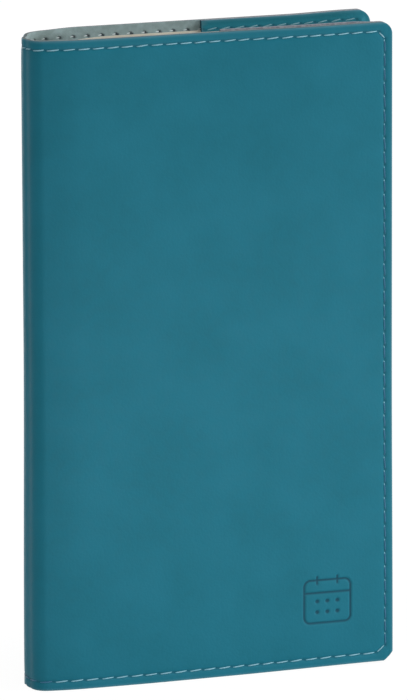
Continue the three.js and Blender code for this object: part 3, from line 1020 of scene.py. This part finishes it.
class DIARY_OT_skin(Operator):
    """Leather skin of the jacket in two halves that meet at the ridge of the spine"""

    bl_idname = "diary.skin"
    bl_label = "Jacket Skin"

    def execute(self, context):
        sizes, drawn = settings("jacket"), settings("seam")
        for side, cover in SIDES:
            half = Half(side, cover)
            seam = Seam(half)
            sheet = layer_sheet(half, sizes.skin_thickness)
            refine_seam(sheet, 0.0, seam)
            start = half.along_at(0.0)

            def by_stamp(along, z, margin=0.0):
                return side == FRONT and near_stamp(along - start, z, margin)

            if side == FRONT:
                refine(sheet, 0.0, by_stamp, STAMP_CUTS)
            soften_rim(sheet, 0.0, sizes.edge_softness, 0.0)
            name_faces(sheet)

            def stamp_at(along, z):
                if not by_stamp(along, z, DETAIL_EDGE):
                    return 0.0
                return 1 - ramp(stamp_distance(along - start, z), *LINE_FADE)

            def depth_of(along, z, share):
                sink = drawn.groove_depth * seam.pull(along, z)[0] + STAMP_DEPTH * stamp_at(along, z)
                return sizes.skin_thickness * share + sink * (1 - share)

            def marks(along, z, share):
                if share > OUTER_PART:
                    return 0.0, 0.0
                pull, hole = seam.pull(along, z)
                # Darker with pressing, partly painted shade in the groove and holes; rims paler with wear and
                # a painted highlight
                pressed = max(GROOVE_PRESS_AND_SHADE * pull, SKIN_HOLE_SHADE * hole, stamp_at(along, z))
                return pressed, wear_and_highlight_rim(min(z, HEIGHT - z, half.fore - along))

            bend_sheet(sheet, half, sizes.skin_thickness, depth_of, marks)
            core = core_material("Skin Edge", settings("finish").edge)
            materials = [skin_material(), core, lining_material("Lining")]
            skin = piece_from(sheet, f"{cover}_jacket_skin", materials)
            nodes = ["front_skin", "spine_skin"] if side == FRONT else ["back_skin"]
            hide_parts(*nodes)
            hang(skin)
        return {"FINISHED"}


class DIARY_OT_lining(Operator):
    """Grey green lining behind the skin, in two halves"""

    bl_idname = "diary.lining"
    bl_label = "Jacket Lining"

    def execute(self, context):
        sizes = settings("jacket")
        thickness = sizes.lining_thickness
        outer = sizes.skin_thickness + sizes.glue_line
        for side, cover in SIDES:
            half = Half(side, cover)
            seam = Seam(half)
            sheet = layer_sheet(half, thickness)
            refine_seam(sheet, thickness, seam)
            name_faces(sheet)

            def depth_of(along, z, share):
                return outer + thickness * share * (1 - LINING_SQUEEZE * seam.pull(along, z)[1])

            def marks(along, z, share):
                # Painted shade at the needle holes
                return min(1.0, LINING_HOLE_SHADE * seam.pull(along, z)[1]), 0.0

            bend_sheet(sheet, half, thickness, depth_of, marks)
            lining = piece_from(sheet, f"{cover}_jacket_lining", [lining_material("Lining")] * 3)
            nodes = ["front_lining", "spine_lining"] if side == FRONT else ["back_lining"]
            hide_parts(*nodes)
            hang(lining)
        return {"FINISHED"}


def flap_depths(half, along, z):
    """Depth of a pocket flap's two faces: tight to the lining at the seam, over the card further in."""
    sizes = settings("jacket")
    sewn = 1 - ramp(min(z, HEIGHT - z, half.fore - along), *FLAP_SEWN_RIM)
    outer = FLAP_INNER_DEPTH - sizes.flap_thickness
    tight = lining_depth(sizes) + sizes.glue_line
    return outer + (tight - outer) * sewn, FLAP_INNER_DEPTH - sizes.flap_pinch * sewn


class DIARY_OT_flaps(Operator):
    """Leather pocket flaps inside the two covers"""

    bl_idname = "diary.flaps"
    bl_label = "Pocket Flaps"

    def execute(self, context):
        sizes = settings("jacket")
        thickness = sizes.flap_thickness
        for side, cover in SIDES:
            half = Half(side, cover)
            seam = Seam(half)
            mouth = half.along_at(MOUTH_X)
            rise = sizes.flap_rise if side == FRONT else 0.0
            sheet = layer_sheet(half, thickness, mouth, rise)
            fade = [half.along_at(x) for x in FLAP_RISE_X]
            for vert in sheet.verts:
                vert.co.z -= rise * ramp(vert.co.z, *FLAP_RISE_Z) * ramp(vert.co.x, *fade)
            refine_seam(sheet, thickness, seam)
            soften_rim(sheet, thickness, FLAP_SOFTNESS, -1.0)
            name_faces(sheet)
            for face in sheet.faces:
                middle = face.calc_center_median()
                if face.material_index == 0 and middle.z > HEIGHT - FLAP_TOP_EDGE:
                    face.material_index = 1
                elif face.material_index == 1 and middle.x < mouth + MOUTH_TURN:
                    face.material_index = 2

            def depth_of(along, z, share):
                outer, inner = flap_depths(half, along, z)
                return outer + (inner - outer) * share - FLAP_GROOVE_DEPTH * seam.pull(along, z)[0] * share

            def marks(along, z, share):
                # Painted shade along the pocket mouth
                if along < mouth + MOUTH_SHADE_WIDTH:
                    return 1.0, 0.0
                if share < INNER_PART:
                    return 0.0, 0.0
                pull, hole = seam.pull(along, z)
                # Painted shade in the groove and holes, with pressing
                pressed = max(GROOVE_PRESS_AND_SHADE * pull, hole)
                # Rims paler: wear, and partly a painted highlight
                return pressed, wear_and_highlight_rim(min(z, HEIGHT - z, half.fore - along, along - mouth))

            bend_sheet(sheet, half, thickness, depth_of, marks)
            core = core_material("Flap Edge", settings("finish").flap_edge)
            flap = piece_from(sheet, f"{cover}_flap", [lining_material("Lining"), core, flap_painted_light_material()])
            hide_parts(f"{cover}_pocket_flap")
            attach(flap, f"{cover}_cover")
        return {"FINISHED"}


def lay_stitch(cloth, start, end, depth, dive, slant, tones):
    """One stitch: a bead of thread between two places, with diving ends and the tones of its two parts."""
    radius = settings("seam").thread_radius
    middle = (start + end) / 2
    half_length = (end - start).length / 2
    forward = (end - start).normalized()
    forward.rotate(Matrix.Rotation(slant, 2))
    across = Vector((-forward.y, forward.x))
    bead = bmesh.ops.create_uvsphere(cloth, u_segments=BEAD_SIDES, v_segments=BEAD_RINGS, radius=1)
    for face in {face for vert in bead["verts"] for face in vert.link_faces}:
        face.material_index = tones[1] if face.calc_center_median().z < OTHER_TONE_BELOW else tones[0]
        face.smooth = True
    for vert in bead["verts"]:
        lateral, through, lengthwise = vert.co
        reach = math.copysign(abs(lengthwise) ** BEAD_BLUNTNESS, lengthwise)
        width = lateral * radius * (1 + BEAD_SWELL - BEAD_SWELL * reach * reach)
        place = middle + forward * half_length * reach + across * width
        sunk = dive * reach**4 * (START_DIVE if reach < 0 else END_DIVE)
        vert.co = Vector((place.x, depth + sunk + through * radius, place.y))


class DIARY_OT_stitches(Operator):
    """Seam stitches outside and inside the jacket"""

    bl_idname = "diary.stitches"
    bl_label = "Seam Stitches"

    def sew(self, half, inner):
        """The stitches of one cover, on one face of it."""
        drawn, seam = settings("seam"), Seam(half)
        mouth = half.along_at(MOUTH_X)
        lining_face = lining_depth(settings("jacket"))
        hand = random.Random(HAND_SEED)
        cloth = bmesh.new()
        # The column's stitches are drawn in painted shade apart from their starts; the rows in the plain
        # thread
        rows = (
            (seam.top + seam.column[:1], (0, 0), ROW_SPAN),
            (seam.column, (1, 0), COLUMN_SPAN),
            (seam.bottom + seam.column[-1:], (0, 0), ROW_SPAN),
        )
        for holes, tones, row_span in rows:
            for first, last in zip(holes, holes[1:]):
                first, last = Vector(first), Vector(last)
                middle = (first + last) / 2
                on_lining = inner and middle.x < mouth
                painted_shade_on_spine = holes[0][1] < HEIGHT / 2 and middle.x < half.run + ROUND_MARGIN
                span = LINING_SPAN if on_lining else row_span
                stray = hand.uniform(-STRAY_SHARE, STRAY_SHARE)
                start, end = [first.lerp(last, share + stray) for share in span]
                turn = math.radians(hand.uniform(-STRAY_DEGREES, STRAY_DEGREES))
                turn += drawn.inner_slant if inner else drawn.slant
                if on_lining:
                    lay_stitch(cloth, start, end, lining_face - LINING_SINK, -LINING_DIVE, turn, (2, 2))
                elif inner:
                    face = flap_depths(half, *middle)[1] - FLAP_SINK
                    # Stitches on the flaps, in thread with painted shade
                    lay_stitch(cloth, start, end, face, -FLAP_DIVE, turn, (3, 3))
                else:
                    # The bottom row's stitches on the spine are drawn in painted shade
                    shown = (1, 1) if painted_shade_on_spine else tones
                    lay_stitch(cloth, start, end, OUTER_SINK, OUTER_DIVE, turn, shown)
        lay_flat_coordinates(cloth)
        for vert in cloth.verts:
            vert.co = half.point(*vert.co)
        bmesh.ops.recalc_face_normals(cloth, faces=cloth.faces[:])
        return cloth

    def execute(self, context):
        finish = settings("finish")
        # Plain thread, thread in painted shade, thread on the lining, and thread on the flaps in painted
        # shade
        materials = [
            thread_material("Thread", finish.thread),
            thread_material("Thread Column", finish.thread_painted_shade),
            thread_material("Thread Inside", finish.thread_inner),
            thread_material("Thread on the Flaps", finish.thread_flap_painted_shade),
        ]
        seams = {FRONT: ("front_seam", "spine_seam_top"), BACK: ("back_seam", "spine_seam_bottom")}
        for side, cover in SIDES:
            half = Half(side, cover)
            for inner, where in ((False, "outer"), (True, "inner")):
                stitches = piece_from(self.sew(half, inner), f"{cover}_{where}_stitches", materials, sharp=80)
                if not inner:
                    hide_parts(*seams[side])
                hang(stitches)
        return {"FINISHED"}


class DIARY_OT_card(Operator):
    """Cream card cover of the refill, tucked under the flaps"""

    bl_idname = "diary.card"
    bl_label = "Card Cover"

    def execute(self, context):
        sizes = settings("jacket")
        thickness = sizes.card_thickness
        outer = lining_depth(sizes) + sizes.card_slip
        for side, cover in SIDES:
            half = Half(side, cover)
            lines_along = rulings(half.along_at(PAGE_FORE_X), False, False, half.run + ROUND_MARGIN)
            card_height = PAGE_TOP + sizes.card_rise - PAGE_BOTTOM
            lines_up = [PAGE_BOTTOM + v for v in rulings(card_height, False, False)]
            sheet = flat_sheet(lines_along, lines_up, thickness)
            fade = [half.along_at(x) for x in CARD_DIP_X]
            for vert in sheet.verts:
                vert.co.z -= sizes.card_dip * ramp(vert.co.z, *CARD_DIP_Z) * (1 - ramp(vert.co.x, *fade))
            name_faces(sheet)

            def depth_of(along, z, share):
                return outer + thickness * share

            bend_sheet(sheet, half, thickness, depth_of)
            card = piece_from(sheet, f"{cover}_card_cover", [card_material("Card")] * 3)
            nodes = ["front_card", "spine_card"] if side == FRONT else ["back_card"]
            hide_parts(*nodes)
            hang(card)
        return {"FINISHED"}


class DIARY_OT_leaves(Operator):
    """Papers of the sections, the endpapers, the gauze and the sewing thread"""

    bl_idname = "diary.leaves"
    bl_label = "Leaves"

    def execute(self, context):
        plain, ruled = paper_material("Paper", False), paper_material("Ruled Paper", True)
        for name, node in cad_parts.items():
            if name.startswith("section_"):
                wanted = ruled
            elif name.endswith("_endpaper"):
                wanted = plain
            elif name.endswith("_gauze"):
                wanted = gauze_material("Gauze")
            elif name == "middle_sewing_thread":
                wanted = linen_material("Sewing Thread")
            else:
                continue
            node.data.materials.clear()
            node.data.materials.append(wanted)
        return {"FINISHED"}


def white_for_the_eye(tree, amount):
    """How far a surface shows as white: to the camera and in reflections, but not as a source of light."""
    path = tree.nodes.new("ShaderNodeLightPath")
    seen = sums(tree, "MAXIMUM", path.outputs["Is Camera Ray"], path.outputs["Is Glossy Ray"])
    seen = sums(tree, "MAXIMUM", seen, path.outputs["Is Transmission Ray"])
    return sums(tree, "MULTIPLY", seen, amount)


class DIARY_OT_studio(Operator):
    """Floor, sky, lamps and camera"""

    bl_idname = "diary.studio"
    bl_label = "Studio"

    def floor(self):
        """White floor that reaches past the picture."""
        sheet = bmesh.new()
        bmesh.ops.create_grid(sheet, x_segments=1, y_segments=1, size=FLOOR_HALF_WIDTH)
        material, tree, shader = open_material("Studio Floor", roughness=0.9, specular=0.0)
        shader.inputs["Base Color"].default_value = FLOOR_COLOUR
        glow = add(tree, "ShaderNodeEmission", {"Color": WHITE, "Strength": FLOOR_GLOW})
        factor = white_for_the_eye(tree, FLOOR_WHITENESS)
        mix = add(tree, "ShaderNodeMixShader", {0: factor, 1: shader.outputs[0], 2: glow.outputs[0]})
        tree.links.new(mix.outputs[0], tree.nodes["Material Output"].inputs["Surface"])
        piece_from(sheet, "studio_floor", [material])

    def sky(self, strength):
        """Even light, and white behind everything."""
        world = bpy.data.worlds.new("Studio Sky")
        world.use_nodes = True
        tree = world.node_tree
        even = fill(tree, tree.nodes["Background"], {"Color": WHITE, "Strength": strength})
        white = add(tree, "ShaderNodeBackground", {"Color": WHITE, "Strength": 1.0})
        factor = white_for_the_eye(tree, 1.0)
        mix = add(tree, "ShaderNodeMixShader", {0: factor, 1: even.outputs[0], 2: white.outputs[0]})
        tree.links.new(mix.outputs[0], tree.nodes["World Output"].inputs["Surface"])
        bpy.context.scene.world = world

    def lamp(self, name, power, place, aim, width, height):
        """One soft lamp turned to its aim."""
        data = bpy.data.lights.new(name, "AREA")
        data.energy = power
        data.shape = "RECTANGLE"
        data.size, data.size_y = width, height
        made = bpy.data.objects.new(name, data)
        made.location = place
        made.rotation_euler = (Vector(aim) - Vector(place)).to_track_quat("-Z", "Y").to_euler()
        bpy.context.scene.collection.objects.link(made)

    def camera(self, studio):
        """The camera, aimed a little beside the diary's middle."""
        yaw, pitch = studio.yaw, studio.pitch
        right = Vector((math.cos(yaw), -math.sin(yaw), 0))
        forward = Vector((math.sin(yaw) * math.cos(pitch), math.cos(yaw) * math.cos(pitch), -math.sin(pitch)))
        up = right.cross(forward)
        target = right * CAMERA_SHIFT + Vector((0, 0, HEIGHT / 2))
        rolled_right = right * math.cos(studio.roll) + up * math.sin(studio.roll)
        rolled_up = up * math.cos(studio.roll) - right * math.sin(studio.roll)
        data = bpy.data.cameras.new("Camera")
        data.lens = studio.lens
        data.sensor_width = 36.0
        data.sensor_fit = "AUTO"
        data.clip_start, data.clip_end = 0.05, 50.0
        made = bpy.data.objects.new("Camera", data)
        turn = Matrix((rolled_right, rolled_up, -forward)).transposed()
        made.matrix_world = Matrix.LocRotScale(target - forward * studio.distance, turn, None)
        bpy.context.scene.collection.objects.link(made)
        bpy.context.scene.camera = made

    def execute(self, context):
        studio = settings("studio")
        context.scene.view_settings.view_transform = "Standard"
        self.floor()
        self.sky(studio.sky)
        for name, power, place, aim, width, height in LAMPS:
            self.lamp(name, getattr(studio, power), place, aim, width, height)
        self.camera(studio)
        return {"FINISHED"}


class DIARY_PT_pieces(Panel):
    """Makes the pieces of the diary"""

    bl_idname = "DIARY_PT_pieces"
    bl_label = "Pocket Diary"
    bl_space_type = "VIEW_3D"
    bl_region_type = "UI"
    bl_category = "Diary"

    def draw(self, context):
        for operator in OPERATORS:
            self.layout.operator(operator.bl_idname)


GROUPS = {
    "jacket": JacketSizes,
    "seam": SeamSizes,
    "drape": DrapeSizes,
    "finish": Finishes,
    "studio": StudioSizes,
    "leaves": LeafSizes,
}
OPERATORS = (
    DIARY_OT_studio,
    DIARY_OT_skin,
    DIARY_OT_lining,
    DIARY_OT_flaps,
    DIARY_OT_stitches,
    DIARY_OT_card,
    DIARY_OT_leaves,
)


def register():
    for cls in (*GROUPS.values(), *OPERATORS, DIARY_PT_pieces):
        bpy.utils.register_class(cls)
    for name, cls in GROUPS.items():
        setattr(bpy.types.Scene, "diary_" + name, PointerProperty(type=cls))


def unregister():
    for name in GROUPS:
        delattr(bpy.types.Scene, "diary_" + name)
    for cls in (DIARY_PT_pieces, *reversed(OPERATORS), *reversed(GROUPS.values())):
        bpy.utils.unregister_class(cls)


def main():
    """Makes every piece."""
    register()
    bpy.ops.diary.studio()
    bpy.ops.diary.skin()
    bpy.ops.diary.lining()
    bpy.ops.diary.flaps()
    bpy.ops.diary.stitches()
    bpy.ops.diary.card()
    bpy.ops.diary.leaves()


if __name__ == "__main__":
    main()
